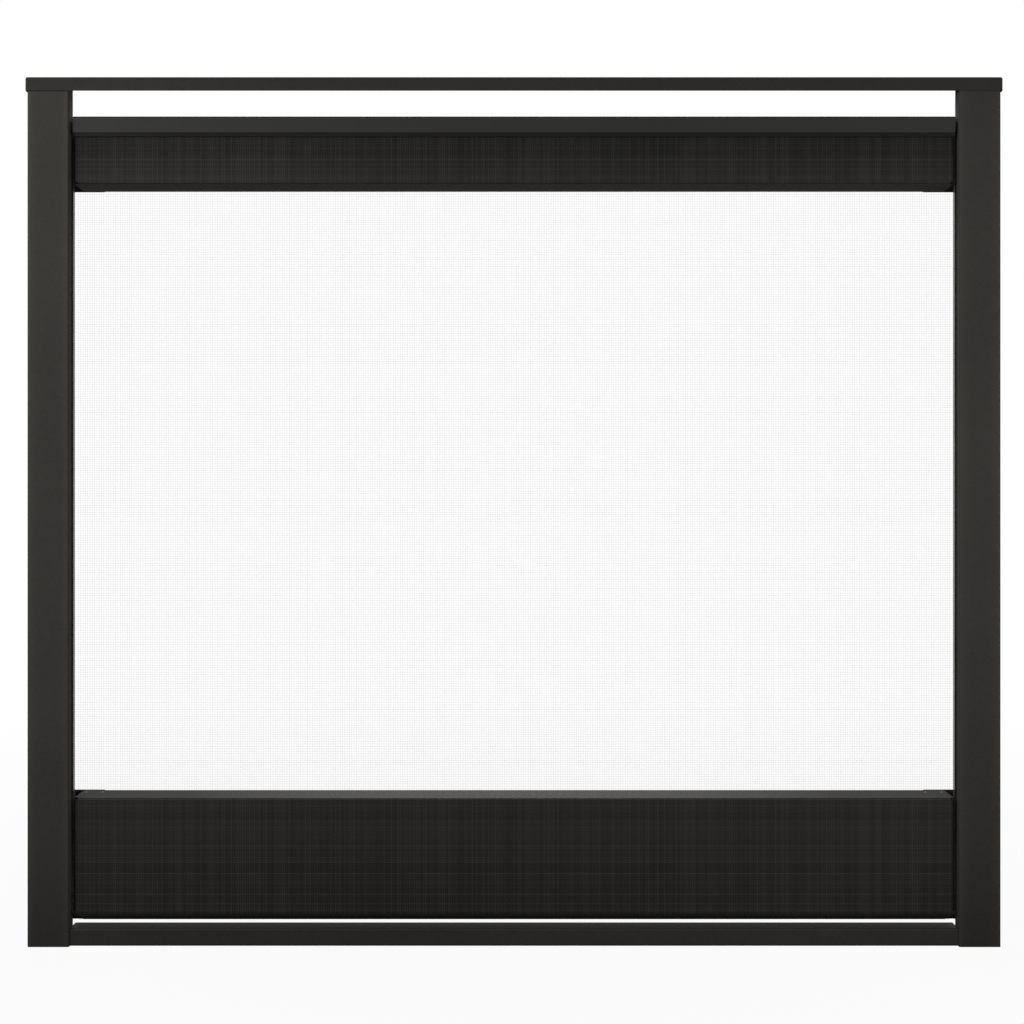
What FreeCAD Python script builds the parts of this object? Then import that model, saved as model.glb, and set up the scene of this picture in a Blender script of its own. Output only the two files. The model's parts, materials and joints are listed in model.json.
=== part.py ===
import FreeCAD, Part
import math
import os
import re
import Sketcher

# Fireplace screen front: a folded steel frame, and a wire screen that hangs in it on four studs.
# X runs along the width, Y from front to back, Z up. The origin is on the floor, under the middle.

# Driving sizes in millimetres
SIZES = {
    # Frame
    "frame_width": 1063.6,
    "post_width": 45.7,
    "post_side": 21.0,
    "post_lip": 10.0,
    "rear_flange": 22.0,
    "sheet": 1.5,
    "bend_radius": 2.5,
    "cap_clearance": 0.3,
    "cap_skirt": 14.9,
    "cap_bend": 2.0,
    "cap_relief": 10.0,
    "bracket_reach": 30.0,
    "bracket_drop": 40.0,
    "bracket_width": 18.0,
    "bracket_gap": 1.5,
    "floor_gap": 0.2,
    "bar_recess": 3.0,
    "bar_height": 19.6,
    "bar_depth": 31.0,
    "bar_return": 12.0,
    "bar_hem": 8.0,
    "tab_edge": 2.0,
    # Screen
    "lower_gap": 7.4,
    "lower_height": 134.2,
    "view_height": 673.6,
    "upper_height": 71.9,
    "top_gap": 26.7,
    "screen_recess": 7.2,
    "screen_side_gap": 1.3,
    "screen_end_gap": 1.2,
    "valance_depth": 56.2,
    "valance_sheet": 1.2,
    "valance_bend": 2.2,
    "valance_side_bend": 5.0,
    "roll_radius": 10.5,
    "lower_return": 30.0,
    "rail_height": 17.9,
    "rail_depth": 22.0,
    "rail_sheet": 1.5,
    "rail_end_gap": 1.2,
    "clamp_thickness": 1.2,
    "clamp_show": 3.8,
    "clamp_width": 14.0,
    "clamp_end_gap": 7.5,
    "stile_thickness": 0.8,
    "stile_depth": 6.6,
    "stile_corner": 4.0,
    "mesh_thickness": 0.6,
    "mesh_bend": 5.2,
    "mesh_tongue": 0.4,
    "mesh_slack": 0.8,
    "mesh_bar": 2.0,
    # Ears, studs and hooks
    "ear_thickness": 1.5,
    "ear_margin": 8.6,
    "ear_reach": 29.0,
    "ear_edge": 4.0,
    "ear_corner": 6.0,
    "mount_hole": 5.5,
    "mount_edge": 14.0,
    "stud_inset": 17.0,
    "stud_diameter": 6.0,
    "stud_clearance": 0.3,
    "stud_collar": 1.5,
    "stud_collar_diameter": 10.0,
    "stud_head": 2.5,
    "stud_head_diameter": 11.0,
    "hook_sheet": 2.0,
    "hook_bend": 3.0,
    "hook_width": 30.0,
    "hook_foot": 20.0,
    "hook_leg": 25.0,
    "hook_slot": 11.0,
    "hook_play": 1.0,
    # Fasteners
    "rivet_diameter": 3.2,
    "rivet_head": 0.9,
    "rivet_head_diameter": 6.4,
    "rivet_crown": 0.6,
    "rivet_tail": 1.5,
    "rivet_edge": 15.0,
    "hook_rivet_spacing": 18.0,
    "hook_rivet_edge": 6.0,
    "bar_rivet_spacing": 7.0,
    "ear_rivet_spacing": 36.0,
    "screw_diameter": 4.0,
    "screw_head": 1.3,
    "screw_head_diameter": 8.0,
    "screw_length": 7.0,
    "screw_spacing": 16.0,
    "screw_drop": 14.0,
    "fit": 0.05,
}

# How many rivets stand in each row, and how many openings the cloth's plain grid has each way
RAIL_RIVETS = 7
CLAMP_RIVETS = 7
MESH_COLUMNS = 12
MESH_ROWS = 9

# Places worked out from the driving sizes
PLACES = {
    "half_frame": "frame_width / 2",
    "post_inner": "half_frame - post_width",
    "cap_lap": "cap_clearance + sheet",
    "post_depth": "screen_recess + mesh_thickness + valance_depth + hook_play + stud_collar",
    "front": "(cap_lap - post_depth - ear_thickness) / 2",
    "post_back": "front + post_depth",
    "back": "post_back + ear_thickness",
    "flange_inner": "half_frame - rear_flange",
    "flange_middle": "half_frame - rear_flange / 2",
    "bar_front": "front + bar_recess",
    "bar_top": "floor_gap + bar_height",
    "tab_depth": "post_side - bar_recess - tab_edge",
    "bar_rivet_y": "bar_front + (sheet + tab_depth) / 2",
    "bar_rivet_z": "floor_gap + bar_height / 2",
    "lower_bottom": "bar_top + lower_gap",
    "lower_top": "lower_bottom + lower_height",
    "upper_bottom": "lower_top + view_height",
    "upper_top": "upper_bottom + upper_height",
    "rail_top": "upper_top + rail_sheet",
    "rail_bottom": "rail_top - rail_height",
    "skirt_bottom": "rail_top + top_gap",
    "cap_top": "skirt_bottom + cap_skirt",
    "post_top": "cap_top - sheet",
    "mesh_front": "front + screen_recess",
    "mesh_back": "mesh_front + mesh_thickness",
    "mesh_top": "upper_top - screen_end_gap",
    "mesh_bottom": "lower_bottom - mesh_thickness",
    "valance_back": "mesh_back + valance_depth",
    "return_back": "mesh_back + lower_return",
    "clamp_front": "mesh_front - clamp_thickness",
    "clamp_bottom": "mesh_bottom - clamp_thickness",
    "clamp_middle": "return_back - screen_end_gap - clamp_width / 2",
    "rail_front": "clamp_front - rail_sheet",
    "stile_outer": "post_inner - screen_side_gap",
    "mesh_outer": "stile_outer - stile_thickness",
    "mesh_inner": "mesh_outer - mesh_thickness",
    "mesh_half": "mesh_outer - mesh_bend - mesh_tongue",
    "mesh_column": f"(2 * mesh_half - mesh_bar) / {MESH_COLUMNS}",
    "mesh_row": f"(view_height + mesh_bar) / {MESH_ROWS}",
    "stile_front": "mesh_front + mesh_bend",
    "stile_back": "stile_front + stile_depth",
    "stile_middle": "stile_front + stile_depth / 2",
    "roll_top": "lower_bottom + roll_radius",
    "rail_half": "mesh_outer - rail_end_gap",
    "rail_rivet_y": "rail_front + rail_depth - rivet_head_diameter",
    "clamp_half": "mesh_inner - clamp_end_gap",
    "stud_x": "post_inner - stud_inset",
    "stud_collar_front": "post_back - stud_collar",
    "stud_head_back": "valance_back - hook_sheet - hook_play",
    "stud_drop": "valance_sheet + hook_leg - hook_slot",
    "slot_half": "stud_diameter / 2 + stud_clearance",
    "hook_rivet_y": "valance_back - hook_foot + hook_rivet_edge",
    "ear_height": "upper_height - stud_drop + ear_margin",
    "ear_inner": "post_inner - ear_reach",
    "ear_outer": "half_frame - ear_edge",
}

# Two places closer than this are the same place
TOUCH = 1e-4

SIDES = {"left": -1, "right": 1}
LEVELS = ("upper", "lower")

doc = FreeCAD.newDocument("fireplace_screen_front")


def tied(text):
    """Turn plain size names into references to the sheet that holds them."""
    def reference(found):
        name = found.group(0)
        return ("Sizes." if name in SIZES else "Places.") + name
    return re.sub(r"[a-z][a-z_]*", reference, text)


def fill_sheet(name, cells):
    """Write one named value to a row."""
    sheet = doc.addObject("Spreadsheet::Sheet", name)
    for row, (alias, content) in enumerate(cells.items(), start=1):
        sheet.set(f"A{row}", alias)
        sheet.set(f"B{row}", content)
        sheet.setAlias(f"B{row}", alias)
    doc.recompute()
    return sheet


sizes = fill_sheet("Sizes", {name: str(value) for name, value in SIZES.items()})
places = fill_sheet("Places", {name: "=" + tied(text) for name, text in PLACES.items()})


def number(text):
    """The present value of an expression in the sheets."""
    return float(places.evalExpression(tied(text)))


# Bodies, sketches and features

def new_body(label):
    body = doc.addObject("PartDesign::Body", label)
    body.Label = label
    return body


def sketch_on(body, plane, at):
    """A sketch parallel to one of the body's own planes, at a place along the axis that it faces."""
    sketch = body.newObject("Sketcher::SketchObject", "sketch")
    support = next(item for item in body.Origin.OriginFeatures if item.Role == plane)
    sketch.AttachmentSupport = (support, [""])
    sketch.MapMode = "FlatFace"
    along_normal = f"-({at})" if plane == "XZ_Plane" else at
    sketch.setExpression("AttachmentOffset.Base.z", tied(along_normal))
    return sketch


def tie(sketch, kind, *references, to):
    """Add a dimension and bind it to an expression."""
    index = sketch.addConstraint(Sketcher.Constraint(kind, *references, number(to)))
    sketch.setExpression(f"Constraints[{index}]", tied(to))


def outline(sketch, corners):
    """Draw a closed outline of level and upright lines through (across, up, radius) corners."""
    spots = [FreeCAD.Vector(number(across), number(up)) for across, up, _ in corners]
    radii = [number(radius) if radius else 0.0 for _, _, radius in corners]
    count = len(corners)
    steps = [(spots[(i + 1) % count] - spots[i]).normalize() for i in range(count)]
    lines = []
    for i in range(count):
        start = spots[i] + steps[i] * radii[i]
        end = spots[(i + 1) % count] - steps[i] * radii[(i + 1) % count]
        line = sketch.addGeometry(Part.LineSegment(start, end))
        lines.append(line)
        across, up, _ = corners[i]
        if abs(steps[i].x) < 0.5:
            sketch.addConstraint(Sketcher.Constraint("Vertical", line))
            tie(sketch, "DistanceX", -1, 1, line, 1, to=across)
        else:
            sketch.addConstraint(Sketcher.Constraint("Horizontal", line))
            tie(sketch, "DistanceY", -1, 1, line, 1, to=up)
    for i in range(count):
        before, after = lines[i - 1], lines[i]
        if not radii[i]:
            sketch.addConstraint(Sketcher.Constraint("Coincident", before, 2, after, 1))
            continue
        centre = spots[i] + (steps[i] - steps[i - 1]) * radii[i]
        left_turn = steps[i - 1].cross(steps[i]).z > 0
        first = -steps[i] if left_turn else -steps[i - 1]
        begin = math.atan2(first.y, first.x) if left_turn else math.atan2(steps[i - 1].y, steps[i - 1].x)
        circle = Part.Circle(centre, FreeCAD.Vector(0, 0, 1), radii[i])
        arc = sketch.addGeometry(Part.ArcOfCircle(circle, begin, begin + math.pi / 2))
        entry, leave = (1, 2) if left_turn else (2, 1)
        sketch.addConstraint(Sketcher.Constraint("Tangent", before, 2, arc, entry))
        sketch.addConstraint(Sketcher.Constraint("Tangent", arc, leave, after, 1))
        tie(sketch, "Radius", arc, to=corners[i][2])


def fold(sketch, path, thickness, bends):
    """Draw a bent sheet from the path of its outer face, with one outside radius for each bend."""
    spots = [FreeCAD.Vector(number(across), number(up)) for across, up in path]
    steps = [(after - before).normalize() for before, after in zip(spots, spots[1:])]
    turn = 1 if steps[0].cross(steps[1]).z > 0 else -1
    inward = [FreeCAD.Vector(-step.y, step.x) * turn for step in steps]
    outer = []
    inner = []
    for i, (across, up) in enumerate(path):
        shift = FreeCAD.Vector(0, 0)
        for face in inward[max(i - 1, 0):i + 1]:
            shift += face
        bend = bends[i - 1] if 0 < i < len(path) - 1 else None
        outer.append((across, up, bend))
        inner.append((
            f"{across} + {round(shift.x)} * {thickness}",
            f"{up} + {round(shift.y)} * {thickness}",
            f"{bend} - {thickness}" if bend else None,
        ))
    outline(sketch, outer + inner[::-1])


def rectangle(sketch, left, right, low, high, radius=None):
    corners = [(left, low, radius), (right, low, radius), (right, high, radius), (left, high, radius)]
    outline(sketch, corners)


def circles(sketch, centres, diameter):
    for across, up in centres:
        middle = FreeCAD.Vector(number(across), number(up))
        circle = sketch.addGeometry(Part.Circle(middle, FreeCAD.Vector(0, 0, 1), number(diameter) / 2))
        tie(sketch, "DistanceX", -1, 1, circle, 3, to=across)
        tie(sketch, "DistanceY", -1, 1, circle, 3, to=up)
        tie(sketch, "Diameter", circle, to=diameter)


def pad(body, sketch, plane, length, both_ways=False):
    """Raise a sketch towards the axis's positive end, or equally to both ends."""
    feature = body.newObject("PartDesign::Pad", "pad")
    feature.Profile = sketch
    feature.setExpression("Length", tied(length))
    feature.SideType = "Symmetric" if both_ways else "One side"
    feature.Reversed = plane == "XZ_Plane"
    return feature


def cut(body, sketch, plane, length):
    """Sink a sketch towards the axis's positive end."""
    feature = body.newObject("PartDesign::Pocket", "pocket")
    feature.Profile = sketch
    feature.setExpression("Length", tied(length))
    feature.Reversed = plane != "XZ_Plane"
    return feature


def drill(body, plane, start, depth, centres, diameter):
    """Drill holes with a running fit through one wall, which begins at start."""
    sketch = sketch_on(body, plane, f"{start} - fit")
    circles(sketch, centres, f"{diameter} + 2 * fit")
    cut(body, sketch, plane, f"{depth} + 2 * fit")


def folded_piece(label, plane, path, thickness, bends, start, length, both_ways=False):
    body = new_body(label)
    sketch = sketch_on(body, plane, start)
    fold(sketch, path, thickness, bends)
    pad(body, sketch, plane, length, both_ways)
    return body


def plate_piece(label, plane, left, right, low, high, start, length, both_ways=False, radius=None):
    body = new_body(label)
    sketch = sketch_on(body, plane, start)
    rectangle(sketch, left, right, low, high, radius)
    pad(body, sketch, plane, length, both_ways)
    return body


def add_discs(body, plane, centres, start, length, diameter):
    """Raise one round disc on each centre."""
    sketch = sketch_on(body, plane, start)
    circles(sketch, centres, diameter)
    pad(body, sketch, plane, length)


def round_edges(body, edges, radius):
    shape = body.Tip
    rounding = body.newObject("PartDesign::Fillet", "rounding")
    rounding.Base = (shape, edges)
    rounding.setExpression("Radius", tied(radius))
    body.Tip = rounding


def crown_heads(body, plane, places_along, diameter, radius):
    """Round the rim of every head whose flat end lies at one of the places along the axis."""
    doc.recompute()
    axis = {"XY_Plane": "z", "XZ_Plane": "y", "YZ_Plane": "x"}[plane]
    ends = [number(place) for place in places_along]
    wanted = number(diameter) / 2
    rims = []
    for index, edge in enumerate(body.Tip.Shape.Edges, start=1):
        circle = edge.Curve
        if not isinstance(circle, Part.Circle) or abs(circle.Radius - wanted) > TOUCH:
            continue
        if any(abs(getattr(circle.Center, axis) - end) < TOUCH for end in ends):
            rims.append(f"Edge{index}")
    round_edges(body, rims, radius)


def repeat_both_ways(body, feature, sketch, across, up):
    """Repeat a cut along its sketch's two axes, each given as a count and a spacing."""
    grid = body.newObject("PartDesign::LinearPattern", "grid")
    grid.Originals = [feature]
    grid.Direction = (sketch, ["H_Axis"])
    grid.Direction2 = (sketch, ["V_Axis"])
    grid.Mode = grid.Mode2 = "Spacing"
    grid.Occurrences, grid.Occurrences2 = across[0], up[0]
    grid.setExpression("Offset", tied(across[1]))
    grid.setExpression("Offset2", tied(up[1]))
    body.Tip = grid


def side_of(sign, text):
    """A width measured from the middle plane, on the left or the right."""
    return f"{sign} * ({text})"


def span(sign, low, high):
    """The lower end and the length, along X, of a span on the left or the right."""
    start = low if sign > 0 else f"-({high})"
    return start, f"({high}) - ({low})"


# Rows of fasteners, shared by the pieces that they pass through

def row(count, half):
    """Even places across the width, as shares of a half width."""
    return [f"{2 * k + 1 - count} / {count} * {half}" for k in range(count)]


RAIL_RIVET_PLACES = [(x, "rail_rivet_y") for x in row(RAIL_RIVETS, "rail_half")]
CLAMP_RIVET_PLACES = [(x, "clamp_middle") for x in row(CLAMP_RIVETS, "clamp_half")]
UPPER_END_RIVETS = [
    ("stile_middle", "upper_bottom + rivet_edge"),
    ("stile_middle", "upper_top - rivet_edge"),
]
LOWER_END_RIVETS = [
    ("stile_middle", "roll_top + rivet_edge"),
    ("stile_middle", "lower_top - rivet_edge"),
]
END_RIVET_PLACES = LOWER_END_RIVETS + UPPER_END_RIVETS
BAR_RIVET_PLACES = [
    ("bar_rivet_y", "bar_rivet_z - bar_rivet_spacing / 2"),
    ("bar_rivet_y", "bar_rivet_z + bar_rivet_spacing / 2"),
]


def stud_height(level):
    return f"{level}_top - stud_drop"


def ear_bottom(level):
    """The upper ears stand on the view's top edge, and the lower ones hang from its bottom edge."""
    return "upper_bottom" if level == "upper" else "lower_top - ear_height"


def mount_height(level):
    return f"{ear_bottom(level)} + mount_edge"


def hook_rivets(sign):
    return [
        (side_of(sign, "stud_x - hook_rivet_spacing / 2"), "hook_rivet_y"),
        (side_of(sign, "stud_x + hook_rivet_spacing / 2"), "hook_rivet_y"),
    ]


def ear_rivets(level, sign):
    middle = f"{ear_bottom(level)} + ear_height / 2"
    across = side_of(sign, "flange_middle")
    return [
        (across, f"{middle} - ear_rivet_spacing / 2"),
        (across, f"{middle} + ear_rivet_spacing / 2"),
    ]


def screws(sign):
    across = side_of(sign, "flange_middle")
    return [(across, "post_top - screw_drop"), (across, "post_top - screw_drop - screw_spacing")]


# Frame

def make_post(side, sign):
    """A folded post: hidden lip, inner side, front, outer side and rear flange."""
    path = [
        (side_of(sign, "post_inner + post_lip"), "front + post_side"),
        (side_of(sign, "post_inner"), "front + post_side"),
        (side_of(sign, "post_inner"), "front"),
        (side_of(sign, "half_frame"), "front"),
        (side_of(sign, "half_frame"), "post_back"),
        (side_of(sign, "flange_inner"), "post_back"),
    ]
    post = folded_piece(f"{side}_post", "XY_Plane", path, "sheet", ["bend_radius"] * 4, "0", "post_top")
    inner_wall, _ = span(sign, "post_inner", "post_inner + sheet")
    drill(post, "YZ_Plane", inner_wall, "sheet", BAR_RIVET_PLACES, "rivet_diameter")
    ears = [place for level in LEVELS for place in ear_rivets(level, sign)]
    drill(post, "XZ_Plane", "post_back - sheet", "sheet", ears, "rivet_diameter")
    drill(post, "XZ_Plane", "post_back - sheet", "sheet", screws(sign), "screw_diameter")
    return post


def make_top_cap():
    """A shallow tray, open below and behind, that laps over the post tops."""
    cap = new_body("top_cap")
    outside = "half_frame + cap_lap"
    inside = "half_frame + cap_clearance"
    tray = sketch_on(cap, "XY_Plane", "skirt_bottom")
    outline(tray, [
        (f"-({outside})", "front - cap_lap", "bend_radius"),
        (outside, "front - cap_lap", "bend_radius"),
        (outside, "post_back", None),
        (f"-({outside})", "post_back", None),
    ])
    pad(cap, tray, "XY_Plane", "cap_skirt")
    hollow = sketch_on(cap, "XY_Plane", "skirt_bottom")
    outline(hollow, [
        (f"-({inside})", "front - cap_clearance", "bend_radius - sheet"),
        (inside, "front - cap_clearance", "bend_radius - sheet"),
        (inside, "post_back + sheet", None),
        (f"-({inside})", "post_back + sheet", None),
    ])
    cut(cap, hollow, "XY_Plane", "cap_skirt - sheet")
    relief = sketch_on(cap, "XY_Plane", "post_top - sheet")
    rectangle(relief, "-flange_inner", "flange_inner", "post_back - cap_relief", "post_back + sheet")
    cut(cap, relief, "XY_Plane", "3 * sheet")
    doc.recompute()
    top_edges = [
        f"Edge{index}"
        for index, edge in enumerate(cap.Tip.Shape.Edges, start=1)
        if abs(edge.BoundBox.ZMin - number("cap_top")) < TOUCH
        and edge.BoundBox.YMin < number("post_back - cap_relief") - TOUCH
    ]
    round_edges(cap, top_edges, "cap_bend")
    return cap


def make_bottom_bar():
    """A folded channel between the posts, with an end tab against each post's inner side."""
    path = [
        ("bar_front + bar_return", "floor_gap"),
        ("bar_front", "floor_gap"),
        ("bar_front", "bar_top"),
        ("bar_front + bar_depth", "bar_top"),
        ("bar_front + bar_depth", "bar_top - bar_hem"),
    ]
    bends = ["bend_radius"] * 3
    bar = folded_piece("bottom_bar", "YZ_Plane", path, "sheet", bends, "0", "2 * post_inner", True)
    for sign in SIDES.values():
        start, length = span(sign, "post_inner - sheet", "post_inner")
        tab = sketch_on(bar, "YZ_Plane", start)
        outline(tab, [
            ("bar_front", "floor_gap", "bend_radius"),
            ("bar_front + tab_depth", "floor_gap", None),
            ("bar_front + tab_depth", "bar_top", None),
            ("bar_front", "bar_top", "bend_radius"),
        ])
        pad(bar, tab, "YZ_Plane", length)
        drill(bar, "YZ_Plane", start, length, BAR_RIVET_PLACES, "rivet_diameter")
    return bar


def make_cap_bracket(side, sign):
    """An angle welded under the cap and screwed to the post's rear flange."""
    start, length = span(
        sign,
        "half_frame - sheet - bracket_gap - bracket_width",
        "half_frame - sheet - bracket_gap",
    )
    path = [
        ("post_back - sheet - bracket_reach", "post_top"),
        ("post_back - sheet", "post_top"),
        ("post_back - sheet", "post_top - bracket_drop"),
    ]
    label = f"{side}_cap_bracket"
    bracket = folded_piece(label, "YZ_Plane", path, "sheet", ["bend_radius"], start, length)
    drill(bracket, "XZ_Plane", "post_back - 2 * sheet", "sheet", screws(sign), "screw_diameter")
    return bracket


def make_ear(level, side, sign):
    """A flat ear on the post's rear flange, with the hole that screws the front to the fireplace."""
    left, width = span(sign, "ear_inner", "ear_outer")
    ear = plate_piece(
        f"{level}_{side}_ear", "XZ_Plane",
        left, f"{left} + {width}", ear_bottom(level), f"{ear_bottom(level)} + ear_height",
        "post_back", "ear_thickness", radius="ear_corner",
    )
    stud = [(side_of(sign, "stud_x"), stud_height(level))]
    mount = [(side_of(sign, "stud_x"), mount_height(level))]
    drill(ear, "XZ_Plane", "post_back", "ear_thickness", stud, "stud_diameter")
    drill(ear, "XZ_Plane", "post_back", "ear_thickness", mount, "mount_hole - 2 * fit")
    drill(ear, "XZ_Plane", "post_back", "ear_thickness", ear_rivets(level, sign), "rivet_diameter")
    return ear


def make_hanger_studs():
    """Headed studs on the ears, each with a collar against its ear."""
    studs = new_body("hanger_studs")
    centres = [
        (side_of(sign, "stud_x"), stud_height(level))
        for level in LEVELS
        for sign in SIDES.values()
    ]
    plane = "XZ_Plane"
    head_front = "stud_head_back - stud_head"
    add_discs(studs, plane, centres, head_front, "back - stud_head_back + stud_head", "stud_diameter")
    add_discs(studs, plane, centres, "stud_collar_front", "stud_collar", "stud_collar_diameter")
    add_discs(studs, plane, centres, head_front, "stud_head", "stud_head_diameter")
    crown_heads(studs, plane, [head_front], "stud_head_diameter", "rivet_crown")
    return studs


def make_cap_bracket_screws():
    body = new_body("cap_bracket_screws")
    centres = [place for sign in SIDES.values() for place in screws(sign)]
    add_discs(body, "XZ_Plane", centres, "post_back - screw_length", "screw_length", "screw_diameter")
    add_discs(body, "XZ_Plane", centres, "post_back", "screw_head", "screw_head_diameter")
    crown_heads(body, "XZ_Plane", ["post_back + screw_head"], "screw_head_diameter", "rivet_crown")
    return body


def make_ear_rivets():
    """Rivets with their heads inside the posts and their tails flush with the ears."""
    body = new_body("ear_rivets")
    centres = [place for level in LEVELS for sign in SIDES.values() for place in ear_rivets(level, sign)]
    flange_front = "post_back - sheet"
    add_discs(body, "XZ_Plane", centres, flange_front, "sheet + ear_thickness", "rivet_diameter")
    head_end = f"{flange_front} - rivet_head"
    add_discs(body, "XZ_Plane", centres, head_end, "rivet_head", "rivet_head_diameter")
    crown_heads(body, "XZ_Plane", [head_end], "rivet_head_diameter", "rivet_crown")
    return body


def side_rivets(label, centres, shank_low, shank_high, head_low, head_high, crowned_at):
    """Rivets along X on both sides, with the rims of their heads rounded at the outer end."""
    body = new_body(label)
    for sign in SIDES.values():
        start, length = span(sign, shank_low, shank_high)
        add_discs(body, "YZ_Plane", centres, start, length, "rivet_diameter")
        start, length = span(sign, head_low, head_high)
        add_discs(body, "YZ_Plane", centres, start, length, "rivet_head_diameter")
    ends = [side_of(sign, crowned_at) for sign in SIDES.values()]
    crown_heads(body, "YZ_Plane", ends, "rivet_head_diameter", "rivet_crown")
    return body


def make_bottom_bar_rivets():
    """Rivets with their heads inside the bar and their tails inside the posts."""
    tab = "post_inner - sheet"
    tail = "post_inner + sheet + rivet_tail"
    head_end = f"{tab} - rivet_head"
    return side_rivets("bottom_bar_rivets", BAR_RIVET_PLACES, tab, tail, head_end, tab, head_end)


# Screen

def bend_corner(valance, sign, notch_low, bend_low, bend_high, notch_high):
    """Notch a valance's upright front corner, and close it with a rounded bend like the mesh's own."""
    left, width = span(sign, "mesh_inner - valance_side_bend", "mesh_inner")
    notch = sketch_on(valance, "XY_Plane", notch_low)
    front_edge = "mesh_back + valance_side_bend"
    rectangle(notch, left, f"{left} + {width}", "mesh_back", front_edge)
    cut(valance, notch, "XY_Plane", f"{notch_high} - ({notch_low})")
    corner = sketch_on(valance, "XY_Plane", bend_low)
    path = [
        (side_of(sign, "mesh_inner"), f"{front_edge} + valance_sheet"),
        (side_of(sign, "mesh_inner"), "mesh_back"),
        (side_of(sign, "mesh_inner - valance_side_bend - valance_sheet"), "mesh_back"),
    ]
    fold(corner, path, "valance_sheet", ["valance_side_bend"])
    pad(valance, corner, "XY_Plane", f"{bend_high} - ({bend_low})")


def make_valance(level, path, bends, end_corners, end_rivets, corner_levels):
    """A channel behind the mesh, open at the back, whose end flanges pinch the mesh to the stiles."""
    label = f"{level}_valance"
    sheet = "valance_sheet"
    valance = folded_piece(label, "YZ_Plane", path, sheet, bends, "0", "2 * mesh_inner", True)
    for sign in SIDES.values():
        start, length = span(sign, "mesh_inner - valance_sheet", "mesh_inner")
        flange = sketch_on(valance, "YZ_Plane", start)
        outline(flange, end_corners)
        pad(valance, flange, "YZ_Plane", length)
        bend_corner(valance, sign, *corner_levels)
        drill(valance, "YZ_Plane", start, length, end_rivets, "rivet_diameter")
    hooks = [place for sign in SIDES.values() for place in hook_rivets(sign)]
    drill(valance, "XY_Plane", f"{level}_top - valance_sheet", sheet, hooks, "rivet_diameter")
    return valance


def make_upper_valance():
    path = [
        ("valance_back", "upper_bottom"),
        ("mesh_back", "upper_bottom"),
        ("mesh_back", "upper_top"),
        ("valance_back", "upper_top"),
    ]
    end_corners = [
        ("mesh_back", "upper_bottom", "valance_bend"),
        ("stile_back", "upper_bottom", None),
        ("stile_back", "upper_top", None),
        ("mesh_back", "upper_top", "valance_bend"),
    ]
    corner_levels = ["upper_bottom", "upper_bottom + valance_bend", "upper_top - valance_bend", "upper_top"]
    bends = ["valance_bend"] * 2
    valance = make_valance("upper", path, bends, end_corners, UPPER_END_RIVETS, corner_levels)
    top_wall = "upper_top - valance_sheet"
    drill(valance, "XY_Plane", top_wall, "valance_sheet", RAIL_RIVET_PLACES, "rivet_diameter")
    return valance


def make_lower_valance():
    """The deeper valance, whose bottom edge is rolled under on a wide radius."""
    path = [
        ("return_back", "lower_bottom"),
        ("mesh_back", "lower_bottom"),
        ("mesh_back", "lower_top"),
        ("valance_back", "lower_top"),
    ]
    end_corners = [
        ("mesh_back", "lower_bottom", "roll_radius"),
        ("stile_back", "lower_bottom", None),
        ("stile_back", "lower_top", None),
        ("mesh_back", "lower_top", "valance_bend"),
    ]
    bends = ["roll_radius", "valance_bend"]
    corner_levels = ["roll_top", "roll_top", "lower_top - valance_bend", "lower_top"]
    valance = make_valance("lower", path, bends, end_corners, LOWER_END_RIVETS, corner_levels)
    drill(valance, "XY_Plane", "lower_bottom", "valance_sheet", CLAMP_RIVET_PLACES, "rivet_diameter")
    return valance


def make_top_rail():
    """An angle over the screen's top edge, which covers the mesh clamp."""
    path = [
        ("rail_front", "rail_bottom"),
        ("rail_front", "rail_top"),
        ("rail_front + rail_depth", "rail_top"),
    ]
    bends = ["bend_radius"]
    rail = folded_piece("top_rail", "YZ_Plane", path, "rail_sheet", bends, "0", "2 * rail_half", True)
    drill(rail, "XY_Plane", "upper_top", "rail_sheet", RAIL_RIVET_PLACES, "rivet_diameter")
    return rail


def make_upper_mesh_clamp():
    """A flat strip that presses the mesh to the upper valance; its edge shows under the rail."""
    return plate_piece(
        "upper_mesh_clamp", "YZ_Plane",
        "clamp_front", "mesh_front", "rail_bottom - clamp_show", "mesh_top",
        "0", "2 * rail_half", both_ways=True,
    )


def make_lower_mesh_clamp():
    clamp = plate_piece(
        "lower_mesh_clamp", "YZ_Plane",
        "clamp_middle - clamp_width / 2", "clamp_middle + clamp_width / 2", "clamp_bottom", "mesh_bottom",
        "0", "2 * clamp_half", both_ways=True,
    )
    drill(clamp, "XY_Plane", "clamp_bottom", "clamp_thickness", CLAMP_RIVET_PLACES, "rivet_diameter")
    return clamp


def make_stile(side, sign):
    """A slender upright strip that the mesh is welded to, and that ties the valances together."""
    left, width = span(sign, "mesh_outer", "stile_outer")
    stile = new_body(f"{side}_stile")
    shape = sketch_on(stile, "YZ_Plane", left)
    outline(shape, [
        ("stile_front", "lower_bottom", "stile_corner"),
        ("stile_back", "lower_bottom", None),
        ("stile_back", "mesh_top", None),
        ("stile_front", "mesh_top", None),
    ])
    pad(stile, shape, "YZ_Plane", width)
    drill(stile, "YZ_Plane", left, width, END_RIVET_PLACES, "rivet_diameter")
    return stile


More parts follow.
